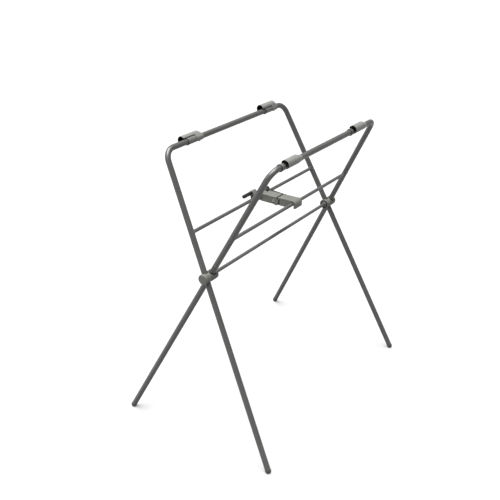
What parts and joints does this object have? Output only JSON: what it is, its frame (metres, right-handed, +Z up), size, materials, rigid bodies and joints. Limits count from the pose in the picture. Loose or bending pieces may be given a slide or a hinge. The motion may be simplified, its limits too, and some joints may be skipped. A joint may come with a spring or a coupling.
{
  "type": "baby bath stand",
  "caption": "Folding stand for a baby bath: crossed tube frames on side pivots, rim hooks on both rails and a hooked brace with a release lever",
  "frame": {"origin": "on the floor, under the middle of the stand as its outermost feet mark it", "axes": "+X along the rails, away from the end with the nearer foot in the picture; +Y across the stand, towards the rail of frame A; +Z up"},
  "size_m": [0.8826, 0.5674, 0.9217],
  "materials": {
    "coated_tube": "dark grey powder coat, low sheen",
    "steel": "plain zinc-plated steel",
    "olive_plastic": "moulded, fine satin",
    "grey_plastic": "moulded, fine satin",
    "hook_plastic": "moulded, fine satin",
    "collar_plastic": "moulded, fine satin",
    "black_plastic": "moulded, matt",
    "white_nylon": "plain nylon"
  },
  "bodies": {
    "frame_a": {"frame_a": "coated_tube", "crossbar_a": "coated_tube", "weld_a_near": "coated_tube", "weld_a_far": "coated_tube", "pivot_bar": "coated_tube", "pivot_pins": "steel", "pivot_washers": "white_nylon", "housing_a_near": "olive_plastic", "housing_a_far": "olive_plastic", "cap_near": "grey_plastic", "flange_far": "grey_plastic", "leg_bushes_a": "white_nylon", "leg_rivets_a": "steel", "foot_a_near": "black_plastic", "foot_a_far": "black_plastic", "collar_a_near": "collar_plastic", "collar_a_far": "collar_plastic", "hook_screws_a": "steel"},
    "frame_b": {"frame_b": "coated_tube", "crossbar_b": "coated_tube", "weld_b_near": "coated_tube", "weld_b_far": "coated_tube", "housing_b_near": "olive_plastic", "housing_b_far": "olive_plastic", "cap_far": "grey_plastic", "flange_near": "grey_plastic", "leg_bushes_b": "white_nylon", "leg_rivets_b": "steel", "foot_b_near": "black_plastic", "foot_b_far": "black_plastic", "collar_b_near": "collar_plastic", "collar_b_far": "collar_plastic", "hook_screws_b": "steel"},
    "brace_arm": {"brace_arm": "olive_plastic", "hinge_pin": "steel", "lever_spring": "steel"},
    "brace_hook": {"brace_hook": "olive_plastic", "catch_pin": "steel"},
    "release_lever": {"lever_tube": "steel", "lever_cheek": "olive_plastic", "grip_rod": "steel", "lever_grip": "black_plastic", "lever_crank": "black_plastic", "crank_pin": "steel"},
    "link": {"link_plate": "black_plastic"},
    "rim_hook_a_near": {"hook_a_near": "hook_plastic"},
    "rim_hook_a_far": {"hook_a_far": "hook_plastic"},
    "rim_hook_b_near": {"hook_b_near": "hook_plastic"},
    "rim_hook_b_far": {"hook_b_far": "hook_plastic"}
  },
  "joints": [
    {"name": "fold", "type": "hinge", "parent": "frame_a", "child": "frame_b", "pos_m": [0, -0.00605, 0.553], "axis": [-1, 0, 0], "range_deg": [0, 44]},
    {"name": "brace_swing", "type": "hinge", "parent": "frame_a", "child": "brace_arm", "pos_m": [0.00872, 0.055, 0.67706], "axis": [-1, 0, 0], "range_deg": [0, 102]},
    {"name": "release_turn", "type": "hinge", "parent": "brace_arm", "child": "release_lever", "pos_m": [0.00872, 0.055, 0.67706], "axis": [-1, 0, 0], "range_deg": [0, 12], "stiffness_Nm_per_rad": 0.4, "springref_deg": -20.05},
    {"name": "hook_tilt", "type": "hinge", "parent": "brace_arm", "child": "brace_hook", "pos_m": [0.00872, -0.00001, 0.67418], "axis": [-1, 0, 0], "range_deg": [0, 12]},
    {"name": "link_turn", "type": "hinge", "parent": "release_lever", "child": "link", "pos_m": [0.00872, 0.05503, 0.69006], "axis": [-1, 0, 0], "range_deg": [-9, 0]},
    {"name": "rim_hook_a_near_turn", "type": "hinge", "parent": "frame_a", "child": "rim_hook_a_near", "pos_m": [-0.20608, 0.16435, 0.89929], "axis": [1, 0, 0], "range_deg": [-7, 38]},
    {"name": "rim_hook_a_far_turn", "type": "hinge", "parent": "frame_a", "child": "rim_hook_a_far", "pos_m": [0.19992, 0.16435, 0.89929], "axis": [1, 0, 0], "range_deg": [-35, 10]},
    {"name": "rim_hook_b_near_turn", "type": "hinge", "parent": "frame_b", "child": "rim_hook_b_near", "pos_m": [-0.20493, -0.18279, 0.8969], "axis": [-1, 0, 0], "range_deg": [-25, 20]},
    {"name": "rim_hook_b_far_turn", "type": "hinge", "parent": "frame_b", "child": "rim_hook_b_far", "pos_m": [0.18112, -0.18279, 0.8969], "axis": [-1, 0, 0], "range_deg": [-30, 15]}
  ],
  "couplings": [
    {"joint": "brace_swing", "follows": "fold", "ratio": 2.3},
    {"joint": "hook_tilt", "follows": "release_turn", "ratio": 0.97},
    {"joint": "link_turn", "follows": "release_turn", "ratio": -0.73}
  ]
}
